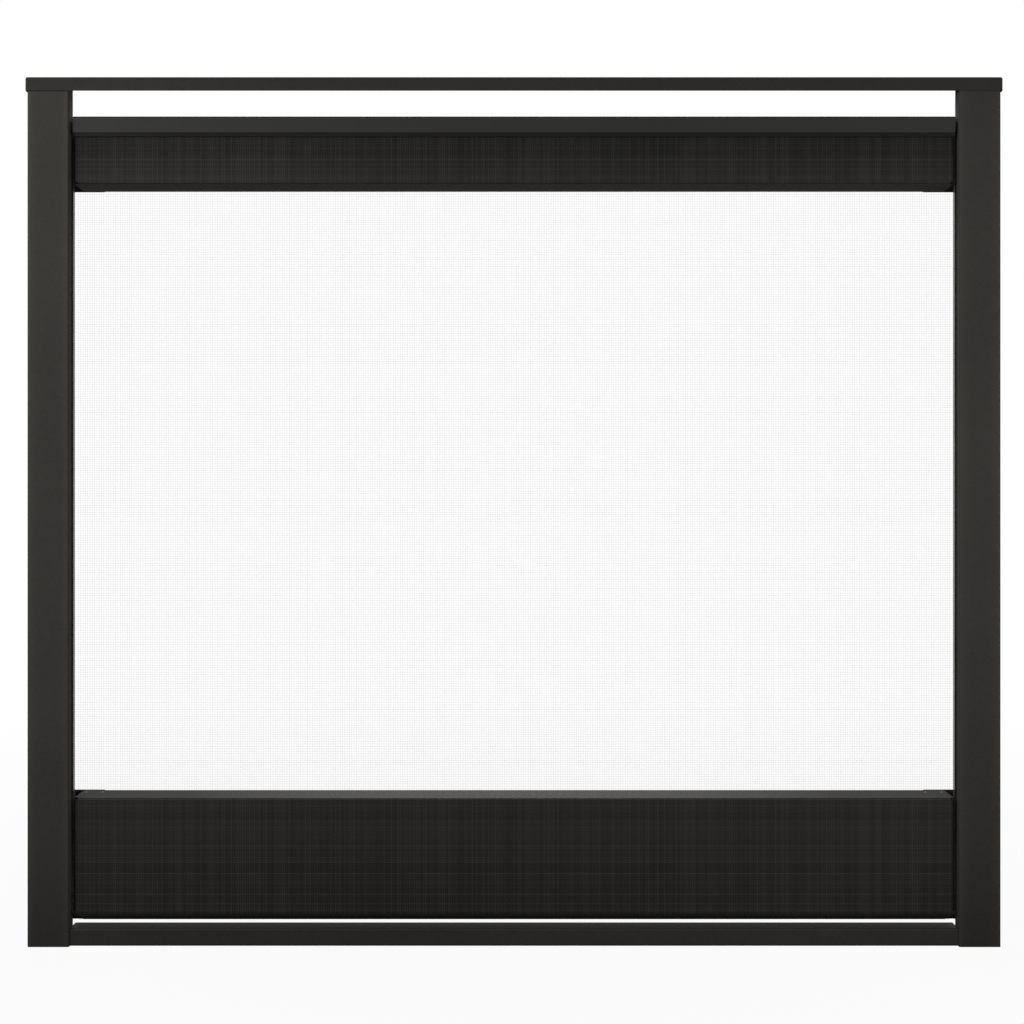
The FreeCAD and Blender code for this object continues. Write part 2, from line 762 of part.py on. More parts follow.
def make_wire_mesh():
    """Wire cloth over the screen's front: a thin flat sheet, with a plain grid of openings in the view."""
    cloth = plate_piece(
        "wire_mesh", "YZ_Plane", "mesh_front", "mesh_back", "roll_top", "mesh_top",
        "0", "2 * mesh_half", both_ways=True,
    )
    corner = sketch_on(cloth, "XZ_Plane", "mesh_front - fit")
    rectangle(
        corner,
        "mesh_bar - mesh_half", "mesh_column - mesh_half", "lower_top", "lower_top + mesh_row - mesh_bar",
    )
    opening = cut(cloth, corner, "XZ_Plane", "mesh_thickness + 2 * fit")
    repeat_both_ways(cloth, opening, corner, (MESH_COLUMNS, "mesh_column"), (MESH_ROWS, "mesh_row"))
    return cloth


def make_wire_mesh_roll():
    """The run of the cloth that goes round the lower valance's rolled edge and under it."""
    path = [
        ("return_back - screen_end_gap", "mesh_bottom"),
        ("mesh_front", "mesh_bottom"),
        ("mesh_front", "roll_top"),
    ]
    bends = ["roll_radius + mesh_thickness - mesh_slack"]
    width = "2 * (mesh_outer - mesh_bend)"
    roll = folded_piece("wire_mesh_roll", "YZ_Plane", path, "mesh_thickness", bends, "0", width, True)
    drill(roll, "XY_Plane", "mesh_bottom", "mesh_thickness", CLAMP_RIVET_PLACES, "rivet_diameter")
    return roll


def make_wire_mesh_wing(side, sign):
    """The run of the cloth that turns back along a stile."""
    path = [
        (side_of(sign, "mesh_outer"), "stile_back"),
        (side_of(sign, "mesh_outer"), "mesh_front"),
        (side_of(sign, "mesh_half"), "mesh_front"),
    ]
    wing = folded_piece(
        f"wire_mesh_{side}_wing", "XY_Plane", path, "mesh_thickness", ["mesh_bend"],
        "roll_top", "mesh_top - roll_top",
    )
    start, length = span(sign, "mesh_inner", "mesh_outer")
    drill(wing, "YZ_Plane", start, length, END_RIVET_PLACES, "rivet_diameter")
    return wing


def make_hook(level, side, sign):
    """An angle under the valance's top flange, whose hanging leg has a slot that drops over a stud."""
    seat = f"{level}_top - valance_sheet"
    path = [
        ("valance_back - hook_foot", seat),
        ("valance_back", seat),
        ("valance_back", f"{seat} - hook_leg"),
    ]
    start, length = span(sign, "stud_x - hook_width / 2", "stud_x + hook_width / 2")
    label = f"{level}_{side}_hook"
    hook = folded_piece(label, "YZ_Plane", path, "hook_sheet", ["hook_bend"], start, length)
    leg_front = "valance_back - hook_sheet"
    middle = side_of(sign, "stud_x")
    slot_end = [(middle, stud_height(level))]
    drill(hook, "XZ_Plane", leg_front, "hook_sheet", slot_end, "2 * slot_half - 2 * fit")
    slot = sketch_on(hook, "XZ_Plane", f"{leg_front} - fit")
    low = f"{seat} - hook_leg - fit"
    rectangle(slot, f"{middle} - slot_half", f"{middle} + slot_half", low, stud_height(level))
    cut(hook, slot, "XZ_Plane", "hook_sheet + 2 * fit")
    drill(hook, "XY_Plane", f"{seat} - hook_sheet", "hook_sheet", hook_rivets(sign), "rivet_diameter")
    return hook


def make_hook_rivets():
    """Rivets with their heads under the hooks and their tails flush with the valances' top flanges."""
    body = new_body("hook_rivets")
    centres = [place for sign in SIDES.values() for place in hook_rivets(sign)]
    ends = []
    for level in LEVELS:
        foot = f"{level}_top - valance_sheet - hook_sheet"
        add_discs(body, "XY_Plane", centres, foot, "valance_sheet + hook_sheet", "rivet_diameter")
        ends.append(f"{foot} - rivet_head")
        add_discs(body, "XY_Plane", centres, ends[-1], "rivet_head", "rivet_head_diameter")
    crown_heads(body, "XY_Plane", ends, "rivet_head_diameter", "rivet_crown")
    return body


def make_top_rail_rivets():
    body = new_body("top_rail_rivets")
    tail = "upper_top - valance_sheet - rivet_tail"
    add_discs(body, "XY_Plane", RAIL_RIVET_PLACES, tail, f"rail_top - ({tail})", "rivet_diameter")
    add_discs(body, "XY_Plane", RAIL_RIVET_PLACES, "rail_top", "rivet_head", "rivet_head_diameter")
    crown_heads(body, "XY_Plane", ["rail_top + rivet_head"], "rivet_head_diameter", "rivet_crown")
    return body


def make_lower_clamp_rivets():
    body = new_body("lower_clamp_rivets")
    shank = "clamp_thickness + mesh_thickness + valance_sheet + rivet_tail"
    add_discs(body, "XY_Plane", CLAMP_RIVET_PLACES, "clamp_bottom", shank, "rivet_diameter")
    head_end = "clamp_bottom - rivet_head"
    add_discs(body, "XY_Plane", CLAMP_RIVET_PLACES, head_end, "rivet_head", "rivet_head_diameter")
    crown_heads(body, "XY_Plane", [head_end], "rivet_head_diameter", "rivet_crown")
    return body


def make_valance_end_rivets():
    """Rivets through stile, mesh and the valances' end flanges, with their heads towards the posts."""
    head_end = "stile_outer + rivet_head"
    tail = "mesh_inner - valance_sheet - rivet_tail"
    seat = "stile_outer"
    return side_rivets("valance_end_rivets", END_RIVET_PLACES, tail, seat, seat, head_end, head_end)


# Assembly

pieces = [
    make_top_cap(),
    make_bottom_bar(),
    make_hanger_studs(),
    make_cap_bracket_screws(),
    make_ear_rivets(),
    make_bottom_bar_rivets(),
    make_upper_valance(),
    make_lower_valance(),
    make_top_rail(),
    make_upper_mesh_clamp(),
    make_lower_mesh_clamp(),
    make_wire_mesh(),
    make_wire_mesh_roll(),
    make_hook_rivets(),
    make_top_rail_rivets(),
    make_lower_clamp_rivets(),
    make_valance_end_rivets(),
]
for side, sign in SIDES.items():
    pieces.append(make_post(side, sign))
    pieces.append(make_cap_bracket(side, sign))
    pieces.append(make_stile(side, sign))
    pieces.append(make_wire_mesh_wing(side, sign))
    for level in LEVELS:
        pieces.append(make_ear(level, side, sign))
        pieces.append(make_hook(level, side, sign))

doc.recompute()

# Checks before anything is written

for item in doc.Objects:
    if "Invalid" in item.State or "Error" in item.State:
        raise RuntimeError(f"{item.Name} of {item.getParentGroup()} failed: {item.State}")
    if item.TypeId in ("PartDesign::Pocket", "PartDesign::LinearPattern"):
        if item.BaseFeature.Shape.Volume - item.Shape.Volume < 1e-3:
            raise RuntimeError(f"{item.Name} cuts nothing")
for piece in pieces:
    if piece.Shape.isNull() or not piece.Shape.isValid():
        raise RuntimeError(f"{piece.Label} has no valid shape")

os.makedirs("parts", exist_ok=True)
for piece in pieces:
    piece.Shape.exportStep(f"parts/{piece.Label}.step")
    print(piece.Label, len(piece.Shape.Solids), "solids,", round(piece.Shape.Volume), "mm3")
print(len(pieces), "pieces,", round(number("cap_top"), 2), "mm tall")
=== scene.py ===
# %% [markdown]
# A fireplace screen front in warm black steel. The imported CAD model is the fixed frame: its posts, bars,
# valances and brackets keep their exact shape and only get a finish here. What the CAD keeps plain is made
# in this script: the woven wire, the rivets, the screws and the hanger studs.

# %% Load the frame
import json
import math

import bmesh
import bpy
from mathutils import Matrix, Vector


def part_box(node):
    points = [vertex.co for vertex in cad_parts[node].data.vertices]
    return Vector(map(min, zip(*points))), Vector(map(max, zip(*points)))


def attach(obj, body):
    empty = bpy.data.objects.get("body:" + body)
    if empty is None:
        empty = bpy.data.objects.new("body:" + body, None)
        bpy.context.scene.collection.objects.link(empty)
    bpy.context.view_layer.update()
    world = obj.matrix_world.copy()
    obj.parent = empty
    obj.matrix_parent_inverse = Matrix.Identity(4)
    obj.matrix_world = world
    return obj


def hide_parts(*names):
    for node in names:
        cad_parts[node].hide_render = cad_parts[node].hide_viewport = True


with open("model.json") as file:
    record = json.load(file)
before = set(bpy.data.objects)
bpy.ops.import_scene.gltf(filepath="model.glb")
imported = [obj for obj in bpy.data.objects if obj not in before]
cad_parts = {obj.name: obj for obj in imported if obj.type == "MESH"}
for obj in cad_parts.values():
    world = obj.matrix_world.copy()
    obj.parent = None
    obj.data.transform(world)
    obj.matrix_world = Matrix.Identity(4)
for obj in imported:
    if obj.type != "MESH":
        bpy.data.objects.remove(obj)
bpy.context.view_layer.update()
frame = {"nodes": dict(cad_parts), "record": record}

scene = bpy.context.scene

# %% [markdown]
# The photograph looks straight at the front from about two metres, at half the front's height, with the
# uprights parallel. A level camera with a small lens shift gives just that: tilting it would make the posts
# lean, and moving it would change how much of the inner faces shows. The scale of the picture at the posts'
# front faces and the distance together set the lens.

# %% Camera
PICTURE_PIXELS = 1024
METRES_PER_PIXEL = 0.0010920
CAMERA_DISTANCE = 2.06
CAMERA_HEIGHT = 0.497
HORIZON_ROW = 492.0
MIDDLE_COLUMN = 514.0

post_low, post_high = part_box("left_post")
lens = bpy.data.cameras.new("photo_camera")
lens.sensor_width = 36.0
lens.lens = lens.sensor_width * CAMERA_DISTANCE / (PICTURE_PIXELS * METRES_PER_PIXEL)
lens.shift_x = 0.5 - MIDDLE_COLUMN / PICTURE_PIXELS
lens.shift_y = HORIZON_ROW / PICTURE_PIXELS - 0.5
camera = bpy.data.objects.new("photo_camera", lens)
camera.location = (0.0, post_low.y - CAMERA_DISTANCE, CAMERA_HEIGHT)
camera.rotation_euler = (math.pi / 2, 0.0, 0.0)
scene.collection.objects.link(camera)
scene.camera = camera
scene.view_settings.view_transform = "Standard"
print("lens", round(lens.lens, 2), "mm, shift", round(lens.shift_x, 4), round(lens.shift_y, 4))

# %% [markdown]
# Every finish and every Geometry Nodes tree below is a little sum. Writing such sums node by node hides what
# they mean, so one small class holds a node's output and lets Python's own operators add the Math nodes. Its
# `node` method makes any other node: first its settings, then the numbers or links of its sockets.

# %% Sums of node values

class Value:
    """An output in a node tree, for use in sums."""

    def __init__(self, tree, socket=None):
        self.tree = tree
        self.socket = socket

    def node(self, kind, settings=None, sockets=None, output=0):
        made = self.tree.nodes.new(kind)
        for name, value in (settings or {}).items():
            if name == "choices":
                for _ in range(value - len(made.index_switch_items)):
                    made.index_switch_items.new()
            else:
                setattr(made, name, value)
        for name, value in (sockets or {}).items():
            if isinstance(value, Value):
                self.tree.links.new(value.socket, made.inputs[name])
            else:
                made.inputs[name].default_value = value
        return Value(self.tree, made.outputs[output])

    def maths(self, operation, left, right=0.0):
        return self.node("ShaderNodeMath", {"operation": operation}, {0: left, 1: right})

    def __add__(self, other):
        return self.maths("ADD", self, other)

    __radd__ = __add__

    def __sub__(self, other):
        return self.maths("SUBTRACT", self, other)

    def __rsub__(self, other):
        return self.maths("SUBTRACT", other, self)

    def __mul__(self, other):
        return self.maths("MULTIPLY", self, other)

    __rmul__ = __mul__


def new_finish(name):
    """A fresh material, its shader, and the object coordinates that its textures read."""
    material = bpy.data.materials.new(name)
    material.use_nodes = True
    shader = material.node_tree.nodes["Principled BSDF"]
    place = Value(material.node_tree).node("ShaderNodeTexCoord", output="Object")
    return material, shader, place


def coordinate(place, axis):
    return place.node("ShaderNodeSeparateXYZ", None, {"Vector": place}, output=axis)


def noise(place, scale, detail=2.0, roughness=0.5):
    sockets = {"Vector": place, "Scale": scale, "Detail": detail, "Roughness": roughness}
    return place.node("ShaderNodeTexNoise", None, sockets)


def mix_colours(amount, dark, light):
    """A colour between two, by an amount that varies over the surface."""
    first, second = (part if isinstance(part, Value) else (*part, 1.0) for part in (dark, light))
    return amount.node("ShaderNodeMix", {"data_type": "RGBA"}, {0: amount, 6: first, 7: second}, output=2)


def bump(height, strength, depth):
    return height.node("ShaderNodeBump", None, {"Strength": strength, "Distance": depth, "Height": height})


def feed(value, shader, name):
    value.tree.links.new(value.socket, shader.inputs[name])


print("sums of node values are ready")

# %% [markdown]
# The frame's coat is a powder coat: fine grains of dry paint, melted on. It is not flat black but a warm
# charcoal, its surface has a fine pebble that breaks up reflections, and the colour drifts a little from
# place to place. Three noises of very different size do this: clouds a hand wide, blotches of a few
# millimetres, and the pebble itself, which goes to the bump. Painted shade darkens the lowest part, where the
# light falls off towards the floor, and the posts carry a painted highlight towards their folded edges.

# %% Powder coat
CLOUDS_PER_METRE = 5.0
BLOTCHES_PER_METRE = 160.0
# Painted shade towards the floor: the height it reaches and how dark it gets.
FLOOR_SHADE_HEIGHT = 0.26
FLOOR_SHADE_SHARE = 0.4
# How strong the painted highlight along the posts' folded edges is.
EDGE_HIGHLIGHT_SHARE = 0.4
PEBBLE = 0.0011
FINE_PEBBLE = 0.0008


def towards_edges(place, low, high):
    """0 in the middle of an upright on either side of the front, rising to 1 at its two edges."""
    across = coordinate(place, "X")
    share = (across.maths("ABSOLUTE", across) - (low + high) / 2) * (2.0 / (high - low))
    squared = share * share
    return squared * squared


def powder_coat(name, dark, light, roughness, gloss, pebble, depth, highlighted_edges=None):
    """A textured coat between two colours, with pebbles of a given width and depth in metres."""
    material, shader, place = new_finish(name)
    clouds = noise(place, CLOUDS_PER_METRE, 3.0)
    blotches = noise(place, BLOTCHES_PER_METRE)
    grains = noise(place, 0.5 / pebble, 1.0, 0.4)
    # Painted shade: the coat darkens towards the floor, below FLOOR_SHADE_HEIGHT.
    floor_shade = place.maths("MAXIMUM", 1.0 - coordinate(place, "Z") * (1.0 / FLOOR_SHADE_HEIGHT), 0.0)
    tone = 0.5 * clouds + 0.2 * blotches + 0.3 * grains - FLOOR_SHADE_SHARE * floor_shade
    # Painted highlight: the coat gets lighter towards the posts' folded edges.
    if highlighted_edges:
        tone = tone + EDGE_HIGHLIGHT_SHARE * towards_edges(place, *highlighted_edges)
    feed(mix_colours(tone, dark, light), shader, "Base Color")
    feed(roughness - 0.06 + 0.12 * clouds, shader, "Roughness")
    feed(bump(grains, 0.6, depth), shader, "Normal")
    shader.inputs["Specular IOR Level"].default_value = gloss
    return material


frame_coat = powder_coat(
    "frame_coat", (0.0192, 0.0184, 0.0162), (0.0468, 0.0448, 0.0396),
    roughness=0.82, gloss=0.06, pebble=PEBBLE, depth=0.00006,
)
post_coat = powder_coat(
    "post_coat", (0.0180, 0.0169, 0.0151), (0.0462, 0.0432, 0.0388),
    roughness=0.82, gloss=0.06, pebble=PEBBLE, depth=0.00006, highlighted_edges=(-post_high.x, -post_low.x),
)
bar_coat = powder_coat(
    "bar_coat", (0.0162, 0.0156, 0.0142), (0.0396, 0.0380, 0.0344),
    roughness=0.58, gloss=0.08, pebble=PEBBLE, depth=0.00003,
)
cap_coat = powder_coat(
    "cap_coat", (0.0144, 0.0136, 0.0126), (0.0353, 0.0333, 0.0309),
    roughness=0.80, gloss=0.05, pebble=PEBBLE, depth=0.00006,
)
screen_coat = powder_coat(
    "screen_coat", (0.0107, 0.0105, 0.0101), (0.0258, 0.0252, 0.0244),
    roughness=0.64, gloss=0.13, pebble=FINE_PEBBLE, depth=0.00003,
)
# Painted shade: the clamp under the rail gets a darker coat for the shade it lies in.
clamp_coat = powder_coat(
    "clamp_coat", (0.0048, 0.0047, 0.0046), (0.0115, 0.0113, 0.0109),
    roughness=0.70, gloss=0.08, pebble=FINE_PEBBLE, depth=0.00003,
)
stile_coat = powder_coat(
    "stile_coat", (0.0144, 0.0140, 0.0136), (0.0348, 0.0340, 0.0328),
    roughness=0.15, gloss=0.70, pebble=FINE_PEBBLE, depth=0.00001,
)
coats = (frame_coat, post_coat, bar_coat, cap_coat, screen_coat, clamp_coat, stile_coat)
print("coats:", ", ".join(coat.name for coat in coats))

# %% [markdown]
# The wire cloth lies on both valances. Its wires are too thin here to show against the dark sheet, so the
# sheet carries painted light of the wires: a soft lighter line along every wire, some stronger than others.
# Two saw-tooth waves in step with the wires give the lines, and one random number for each line makes it
# stronger or weaker. The same lines give a faint bump.

# %% Painted light of the wires
PITCH = 0.00254
CROSSWIRES_FROM = 5000.0


def wire_light_lines(place, axis, shift):
    """Soft painted lines of wire light one pitch apart along an axis of the object, each of its own strength.
    """
    count = coordinate(place, axis) * (1.0 / PITCH) + 0.5
    whole = count.maths("FLOOR", count)
    offset = count - whole - 0.5
    strength = whole.node("ShaderNodeTexWhiteNoise", {"noise_dimensions": "1D"}, {"W": whole + shift})
    return (1.0 - 2.0 * offset.maths("ABSOLUTE", offset)) * strength


# The painted light of the wires repeats once every pitch.
print("print of the weave every", PITCH * 1000, "mm")

# %% [markdown]
# Painted shade darkens each valance away from the view, the open part between the valances, and the ledge of
# the lower valance carries a painted highlight, most of it in the middle. The painted light of the wires is
# only on the valances' front faces, so the coat asks how deep a point lies.

# %% Coat under the wire cloth
DARK_SHARE = 0.14
FACE_DEPTH = 0.0006
LEDGE_DEPTH = 0.0004
MIDDLE_HALF = 0.36
LEDGE_HIGHLIGHT = (0.20, 0.196, 0.192)
LEDGE_HIGHLIGHT_NOISE_PER_METRE = 260.0

view_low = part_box("lower_valance")[1].z
view_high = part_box("upper_valance")[0].z
valance_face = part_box("upper_valance")[0].y


def between(value, low, high):
    """1 where a value lies between two levels, and 0 elsewhere."""
    return value.maths("GREATER_THAN", value, low) * value.maths("LESS_THAN", value, high)


def towards_middle(place):
    """1 in the middle of the front, falling to 0 at MIDDLE_HALF to either side, and below 0 past that."""
    across = coordinate(place, "X")
    return 1.0 - across * across * (1.0 / MIDDLE_HALF ** 2)


def painted_light_coat(name, light, base, wire_light_share, painted_shade_share, shaded_at, lit_at, roughness, gloss):
    """A dark coat with painted light of the wires, painted shade from one height to another, and a painted
    highlight on its ledge.
    """
    material, shader, place = new_finish(name)
    clouds = noise(place, CLOUDS_PER_METRE, 3.0)
    depth, height = coordinate(place, "Y"), coordinate(place, "Z")
    covered = depth.maths("LESS_THAN", depth, valance_face + FACE_DEPTH)
    # Painted light of the wires, on the valances' front faces only.
    weave = covered * (0.5 * wire_light_lines(place, "X", 0.0) + 0.5 * wire_light_lines(place, "Z", CROSSWIRES_FROM))
    # Painted shade: darkest at shaded_at, lightest at lit_at.
    painted_shade_ramp = (height - shaded_at) * (1.0 / (lit_at - shaded_at))
    tone = base + wire_light_share * weave + 0.25 * clouds + painted_shade_share * painted_shade_ramp
    coat = mix_colours(tone, tuple(DARK_SHARE * part for part in light), light)
    # Painted highlight on the ledge of the lower valance, strongest in the middle.
    ledge = between(height, view_low - LEDGE_DEPTH, (view_low + view_high) / 2)
    grains = 0.66 * noise(place, LEDGE_HIGHLIGHT_NOISE_PER_METRE) - 0.06
    feed(mix_colours(ledge * towards_middle(place) * grains, coat, LEDGE_HIGHLIGHT), shader, "Base Color")
    feed(roughness - 0.06 + 0.12 * clouds, shader, "Roughness")
    feed(bump(weave, 0.15, 0.00005), shader, "Normal")
    shader.inputs["Specular IOR Level"].default_value = gloss
    return material


upper_coat = painted_light_coat(
    "upper_printed_coat", (0.0480, 0.0462, 0.0446), base=-0.20, wire_light_share=0.72, painted_shade_share=0.36,
    shaded_at=0.905, lit_at=0.835, roughness=0.84, gloss=0.045,
)
lower_coat = painted_light_coat(
    "lower_printed_coat", (0.0415, 0.0394, 0.0367), base=-0.02, wire_light_share=0.82, painted_shade_share=0.12,
    shaded_at=0.040, lit_at=0.161, roughness=0.64, gloss=0.055,
)
print("printed coats:", upper_coat.name, lower_coat.name)

# %% [markdown]
# The hooks and studs are zinc plated steel and the rivets and screws are blackened. Plating is metal, so its
# colour lives in the reflection: a bluish grey with faint cloudy patches and fine rolling lines. Blackening
# is a thin oxide, dark and half shiny.

# %% Plated and blackened steel

def plated_steel(name, dark, light, roughness, metallic):
    material, shader, place = new_finish(name)
    patches = noise(place, 220.0, 3.0)
    stretch = place.node("ShaderNodeMapping", None, {"Vector": place, "Scale": (4000.0, 250.0, 250.0)})
    lines = noise(stretch, 1.0)
    feed(mix_colours(0.7 * patches + 0.3 * lines, dark, light), shader, "Base Color")
    feed(roughness - 0.1 + 0.2 * lines, shader, "Roughness")
    feed(bump(lines, 0.25, 0.00002), shader, "Normal")
    shader.inputs["Metallic"].default_value = metallic
    return material


zinc_plate = plated_steel("zinc_plate", (0.34, 0.35, 0.37), (0.58, 0.59, 0.60), 0.36, 1.0)
black_oxide = plated_steel("black_oxide", (0.010, 0.010, 0.010), (0.030, 0.029, 0.027), 0.40, 0.0)
print("metals:", zinc_plate.name, black_oxide.name)

# %% [markdown]
# Each CAD node names a material slot in its record, so its finish follows from that one word. A few nodes
# differ a little from their slot: the valances, by painted light of the wires, painted shade and a painted
# ledge highlight, the cap, a shade darker, the posts, by a painted highlight along their folded edges, the
# bar, a shade darker, smoother and glossier, the clamp, by painted shade, and the stiles, which the cloth
# has rubbed smooth.

# %% Paint the CAD nodes
FINISHES = {
    "frame_coat": frame_coat,
    "screen_coat": screen_coat,
    "mesh_wire": screen_coat,
    "hanger_steel": zinc_plate,
    "fastener_black": black_oxide,
}
OWN_FINISHES = {
    "left_post": post_coat, "right_post": post_coat, "top_cap": cap_coat, "bottom_bar": bar_coat,
    "upper_valance": upper_coat, "lower_valance": lower_coat, "upper_mesh_clamp": clamp_coat,
    "left_stile": stile_coat, "right_stile": stile_coat,
}
for part in frame["record"]["subparts"]:
    mesh = frame["nodes"][part["node"]].data
    mesh.materials.clear()
    mesh.materials.append(OWN_FINISHES.get(part["node"], FINISHES[part["material_slot"]]))

# %% [markdown]
# Geometry Nodes trees make everything that repeats here. Three helpers are enough: one starts a tree with
# named inputs, one ends it (real geometry instead of instances, with its finish set), and one runs it on a
# starting mesh and hands back the result as a plain mesh. The tree adds its finish after the starting mesh's
# empty first slot, so only the last slot is kept.

# %% Geometry trees

def new_tree(name, inputs):
    """A geometry tree, its named inputs as values, and the identifier of each."""
    tree = bpy.data.node_groups.new(name, "GeometryNodeTree")
    tree.interface.new_socket("Geometry", in_out="OUTPUT", socket_type="NodeSocketGeometry")
    names = {
        label: tree.interface.new_socket(label, in_out="INPUT", socket_type=f"NodeSocket{kind}").identifier
        for label, kind in inputs.items()
    }
    source = tree.nodes.new("NodeGroupInput")
    return tree, names, {label: Value(tree, source.outputs[label]) for label in inputs}


def end_tree(copies, finish):
    real = copies.node("GeometryNodeRealizeInstances", None, {"Geometry": copies})
    done = real.node("GeometryNodeSetMaterial", None, {"Geometry": real, "Material": finish})
    end = done.tree.nodes.new("NodeGroupOutput")
    done.tree.links.new(done.socket, end.inputs[0])


def grow(tree, names, start_mesh, values):
    """The plain mesh that a tree makes from a starting mesh and the values of its inputs."""
    carrier = bpy.data.objects.new(tree.name, start_mesh)
    scene.collection.objects.link(carrier)
    modifier = carrier.modifiers.new(tree.name, "NODES")
    modifier.node_group = tree
    for label, value in values.items():
        modifier[names[label]] = value
    graph = bpy.context.evaluated_depsgraph_get()
    mesh = bpy.data.meshes.new_from_object(carrier.evaluated_get(graph))
    finish = mesh.materials[-1]
    mesh.materials.clear()
    mesh.materials.append(finish)
    carrier.modifiers.remove(modifier)
    bpy.data.objects.remove(carrier)
    return mesh


print("geometry trees can be started, ended and run")

# %% [markdown]
# The wire cloth has ten wires to the inch each way, far too many to lay by hand, and it is bent: round the
# rolled edge below and back along both sides. One tree lays all of it. It takes a row of stations and the
# path of one wire, gives the path a round section, and sets a copy on every station. Woven wires are never
# quite evenly spaced: they bunch up here and open out there, and that is what the eye sees as cloth. A slow
# noise along the row shifts each copy a little for this.

# %% Wire cloth: the tree

def wire_tree():
    tree, names, given = new_tree("wire_cloth", {
        "Stations": "Geometry", "Wire path": "Object", "Wires": "Int", "Wire diameter": "Float",
        "Bunched by": "Float", "Bunch length": "Float", "Seed": "Int", "Sides": "Int", "Coat": "Material",
    })
    start = Value(tree)
    row = start.node("GeometryNodeMeshToCurve", None, {"Mesh": given["Stations"]})
    sockets = {"Curve": row, "Count": given["Wires"]}
    spaced = start.node("GeometryNodeResampleCurve", {"mode": "COUNT"}, sockets)
    place = start.node("GeometryNodeSplineParameter", output="Length")
    turns = start.maths("DIVIDE", place, given["Bunch length"]) + 37.0 * given["Seed"]
    sockets = {"W": turns, "Scale": 1.0, "Detail": 3.0}
    drift = start.node("ShaderNodeTexNoise", {"noise_dimensions": "1D"}, sockets)
    along = start.node("GeometryNodeInputTangent")
    sockets = {0: along, "Scale": (drift - 0.5) * given["Bunched by"]}
    shift = start.node("ShaderNodeVectorMath", {"operation": "SCALE"}, sockets)
    uneven = start.node("GeometryNodeSetPosition", None, {"Geometry": spaced, "Offset": shift})
    path = start.node("GeometryNodeObjectInfo", None, {"Object": given["Wire path"]}, output="Geometry")
    line = start.node("GeometryNodeMeshToCurve", None, {"Mesh": path})
    sockets = {"Resolution": given["Sides"], "Radius": 0.5 * given["Wire diameter"]}
    section = start.node("GeometryNodeCurvePrimitiveCircle", {"mode": "RADIUS"}, sockets)
    sockets = {"Curve": line, "Profile Curve": section, "Fill Caps": True}
    wire = start.node("GeometryNodeCurveToMesh", None, sockets)
    copies = start.node("GeometryNodeInstanceOnPoints", None, {"Points": uneven, "Instance": wire})
    end_tree(copies, given["Coat"])
    return tree, names


cloth_tree, cloth_inputs = wire_tree()
print("tree", cloth_tree.name, "with inputs", ", ".join(cloth_inputs))

# %% [markdown]
# The wires carry a black a little lighter than the screen's, a painted sheen for their round tops catching
# the light. On real cloth each wire dips under its neighbours; at this pitch that shows only as a fine beat
# of light and shade along the wire, so the finish carries it as painted light and shade: a wave in step with
# the pitch.
# The wires between the valances are paler in patches, more of them in the middle, and there the cloth looks
# thinner.

# %% Wire cloth: the finish
VIEW_MARGIN = 0.015
PALE_PATCHES_PER_METRE = 40.0
WIRE_PALE_PATCH = (0.300, 0.294, 0.288)


def wire_finish():
    material, shader, place = new_finish("wire_coat")
    height = coordinate(place, "Z")
    turns = (coordinate(place, "X") + height) * (math.pi / PITCH)
    # Painted light and shade along each wire, in step with the pitch.
    painted_dip_light = turns.maths("SINE", turns)
    drift = noise(place, 30.0)
    # Painted sheen: the wires' light end is lighter than the screen's coat.
    coat = mix_colours(0.4 + 0.3 * painted_dip_light + 0.3 * drift, (0.010, 0.0096, 0.0091), (0.060, 0.0577, 0.0548))
    # Paler patches on the wires between the valances, more of them in the middle.
    in_view = between(height, view_low + VIEW_MARGIN, view_high - VIEW_MARGIN)
    patches = 5.0 * noise(place, PALE_PATCHES_PER_METRE, 4.0, 0.6) - 2.4
    pale_patches = in_view * (patches + 0.3 * towards_middle(place))
    feed(mix_colours(pale_patches, coat, WIRE_PALE_PATCH), shader, "Base Color")
    feed(0.50 + 0.2 * drift, shader, "Roughness")
    shader.inputs["Specular IOR Level"].default_value = 0.10
    return material


wire_coat = wire_finish()
print("wire finish", wire_coat.name)

# %% [markdown]
# The CAD sheets for the cloth give the surface that the wires lie in. Uprights lie just behind the middle of
# that surface and crosswires just before it, half a wire away, so they touch where they cross. A wire's path
# is its straight runs and bends, as points from one end to the other.

# %% Wire cloth: paths and runs
WIRE = 0.00010
BUNCHED = 0.0018
BUNCH_LENGTH = 0.03


def polyline(name, points):
    mesh = bpy.data.meshes.new(name)
    mesh.from_pydata(points, [(i, i + 1) for i in range(len(points) - 1)], [])
    return mesh


def length_of(points):
    return sum((Vector(a) - Vector(b)).length for a, b in zip(points, points[1:]))


def bend(centre, radius, start, end, parts):
    """Points on an arc, between two angles in degrees."""
    angles = [math.radians(start + (end - start) * i / parts) for i in range(parts + 1)]
    return [(centre[0] + radius * math.cos(a), centre[1] + radius * math.sin(a)) for a in angles]


def lay_wires(seed, stations, path, count):
    """One run of parallel wires as a plain mesh."""
    wire = bpy.data.objects.new("wire_path", polyline("wire_path", path))
    scene.collection.objects.link(wire)
    mesh = grow(cloth_tree, cloth_inputs, polyline("stations", stations), {
        "Wire path": wire, "Wires": count, "Wire diameter": WIRE, "Bunched by": BUNCHED,
        "Bunch length": BUNCH_LENGTH, "Seed": seed, "Sides": 6, "Coat": wire_coat,
    })
    bpy.data.objects.remove(wire)
    return mesh


sheet_low, sheet_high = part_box("wire_mesh")
middle_y = (sheet_low.y + sheet_high.y) / 2
behind = middle_y + WIRE / 2
before = middle_y - WIRE / 2
print("wires lie", WIRE * 1000, "mm apart in depth, about y =", round(middle_y, 5))

# %% [markdown]
# The uprights hang from the rail and turn under the lower valance, round the roll. The crosswires turn back
# at both sides, as far as the wings go. Each run needs one path and a row of stations, a pitch apart.

